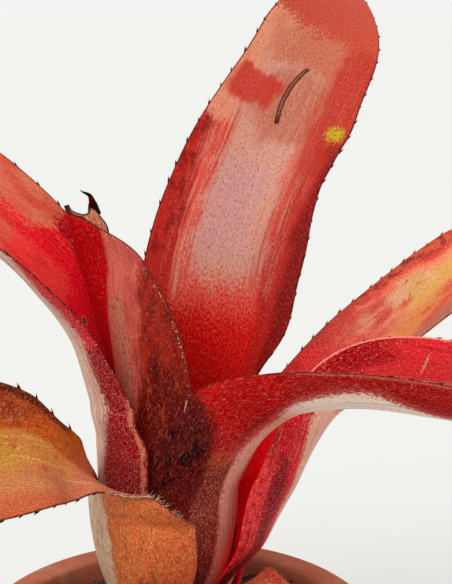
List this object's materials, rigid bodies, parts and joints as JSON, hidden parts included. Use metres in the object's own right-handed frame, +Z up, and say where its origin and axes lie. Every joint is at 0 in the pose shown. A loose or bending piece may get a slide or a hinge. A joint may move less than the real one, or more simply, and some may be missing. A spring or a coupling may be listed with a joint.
{
  "type": "potted neoregelia bromeliad",
  "caption": "Rosette of stiff, spiny red and orange strap leaves whose sheaths nest round a central tank, on a short caudex in a plain clay pot of bark mix.",
  "frame": {"origin": "middle of the flat foot of the pot, on the surface that it stands on", "axes": "+Z up, +Y away from the viewer who faces the rosette with its tall back leaf behind, +X to the viewer's right"},
  "size_m": [0.2028, 0.1638, 0.2214],
  "materials": {
    "clay": "unglazed, matte, slightly dusty",
    "bark_mix": "rough chips, matte",
    "caudex_bark": "rough, dry",
    "heart_leaf": "satin, waxy",
    "dark_red_leaf": "satin, waxy, with pale scurf",
    "red_leaf": "satin, waxy, with a pale bloom",
    "pink_red_leaf": "satin, waxy, with pale scurf",
    "orange_leaf": "satin, waxy, with red spots"
  },
  "bodies": {
    "root": {"pot": "clay", "growing_mix": "bark_mix", "caudex": "caudex_bark", "leaf_heart": "heart_leaf", "leaf_inner_left": "dark_red_leaf", "leaf_front_right": "dark_red_leaf", "leaf_back": "red_leaf", "leaf_right": "pink_red_leaf", "leaf_left": "pink_red_leaf", "leaf_back_right": "orange_leaf", "leaf_outer_left": "orange_leaf", "leaf_outer_back": "orange_leaf", "leaf_outer_front": "orange_leaf"}
  },
  "joints": []
}
